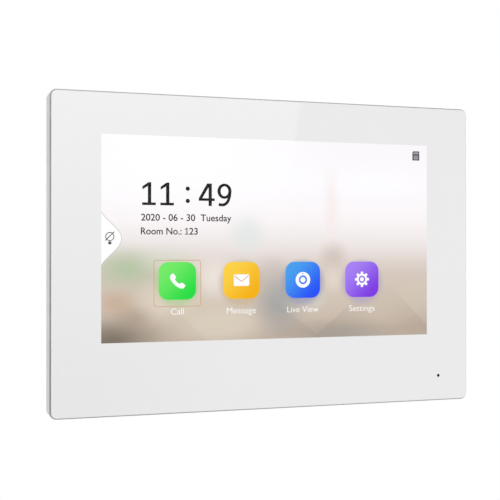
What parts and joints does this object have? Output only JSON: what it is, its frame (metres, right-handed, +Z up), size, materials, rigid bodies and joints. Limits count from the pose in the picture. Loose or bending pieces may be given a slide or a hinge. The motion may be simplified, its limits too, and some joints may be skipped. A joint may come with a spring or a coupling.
{
  "type": "video intercom monitor",
  "caption": "Flat wall-hung intercom monitor: touch display under white-bordered glass in a white housing, hooked on a steel wall plate.",
  "frame": {"origin": "centre of the wall plate's two screw slots, on the wall plane, at the middle of the monitor", "axes": "+Z up along the wall, +X to the right as the display is read, +Y into the wall; the display faces -Y"},
  "size_m": [0.2, 0.0151, 0.14],
  "materials": {
    "steel_plate": "zinc plated, satin",
    "spring_steel": "rolled spring steel",
    "white_shell": "white, fine grained",
    "ring_metal": "grey, satin",
    "cover_glass": "white printed border, clear window, glossy",
    "tape": "black foam tape",
    "film": "clear film with a conductive grid",
    "display": "lit display",
    "light_guide": "clear acrylic over white foil",
    "tin_plate": "tin plated sheet",
    "polyimide": "amber film",
    "black_plastic": "black moulding compound",
    "cream_plastic": "natural nylon",
    "screw_steel": "nickel plated",
    "board": "green solder mask",
    "silicone": "grey-blue silicone pad",
    "aluminium": "rolled sheet",
    "chip": "black epoxy",
    "shield_can": "tin plated can",
    "cell_steel": "stainless can",
    "can_aluminium": "aluminium can",
    "ferrite": "ferrite and tape",
    "flat_cable": "white flat cable",
    "gold_contact": "gold plated",
    "green_terminal": "green nylon",
    "tin_pin": "tin plated brass",
    "foam": "closed cell foam",
    "basket_steel": "black painted steel",
    "magnet": "zinc plated magnet and yoke",
    "cone": "black coated cone",
    "boot_rubber": "black silicone rubber",
    "capsule": "aluminium capsule",
    "wire_red": "red insulation",
    "wire_black": "black insulation",
    "wire_grey": "grey coaxial lead",
    "copper_film": "copper on film",
    "label": "blank silver label"
  },
  "bodies": {
    "wall_mount": {"wall_plate": "steel_plate"},
    "monitor": {"rear_cover": "white_shell", "front_frame": "white_shell", "trim_ring": "ring_metal", "cover_glass": "cover_glass", "glass_adhesive": "tape", "touch_film": "film", "lcd_cell": "display", "light_guide": "light_guide", "lcd_tray": "tin_plate", "lcd_flex": "polyimide", "touch_flex": "polyimide", "flex_sockets": "cream_plastic", "lcd_brackets": "tin_plate", "lcd_screws": "screw_steel", "main_board": "board", "board_screws": "screw_steel", "processor": "chip", "thermal_pad": "silicone", "heat_spreader": "aluminium", "memory_chips": "chip", "wifi_module": "shield_can", "clock_cell_holder": "black_plastic", "clock_cell": "cell_steel", "filter_capacitors": "can_aluminium", "io_board": "board", "io_board_screws": "screw_steel", "supply_transformer": "ferrite", "card_socket": "shield_can", "link_cable": "flat_cable", "link_sockets": "cream_plastic", "network_socket_shell": "shield_can", "network_socket_insert": "black_plastic", "network_contacts": "gold_contact", "power_header": "green_terminal", "power_pins": "tin_pin", "alarm_header": "green_terminal", "alarm_pins": "tin_pin", "debug_header": "cream_plastic", "speaker_gasket": "foam", "speaker_frame": "basket_steel", "speaker_magnet": "magnet", "microphone_boot": "boot_rubber", "microphone": "capsule", "speaker_leads": "wire_red", "microphone_leads": "wire_black", "aerial_lead": "wire_grey", "wifi_aerial": "copper_film", "case_screws": "screw_steel", "rating_label": "label"},
    "catch": {"lock_catch": "spring_steel", "catch_rivets": "screw_steel"},
    "power_connector": {"power_plug": "green_terminal", "power_plug_screws": "screw_steel"},
    "alarm_connector": {"alarm_plug": "green_terminal", "alarm_plug_screws": "screw_steel"},
    "flap": {"card_flap": "white_shell"},
    "cone": {"speaker_cone": "cone"}
  },
  "joints": [
    {"name": "unit_lift", "type": "slide", "parent": "wall_mount", "child": "monitor", "axis": [0, 0, 1], "range_m": [0, 0.0055]},
    {"name": "catch_flex", "type": "hinge", "parent": "wall_mount", "child": "catch", "pos_m": [0, -0.0012, 0.0398], "axis": [1, 0, 0], "range_deg": [0, 3.4]},
    {"name": "power_plug_slide", "type": "slide", "parent": "monitor", "child": "power_connector", "axis": [0, 0, 1], "range_m": [0, 0.008]},
    {"name": "alarm_plug_slide", "type": "slide", "parent": "monitor", "child": "alarm_connector", "axis": [0, 0, 1], "range_m": [0, 0.008]},
    {"name": "card_flap_hinge", "type": "hinge", "parent": "monitor", "child": "flap", "pos_m": [0.0615, -0.0064, -0.07], "axis": [1, 0, 0], "range_deg": [0, 100]},
    {"name": "cone_travel", "type": "slide", "parent": "monitor", "child": "cone", "axis": [0, 1, 0], "range_m": [-0.0004, 0.0004], "stiffness_N_per_m": 400}
  ],
  "couplings": [
    {"joint": "catch_flex", "follows": "unit_lift", "rad_per_m": 10.1}
  ]
}
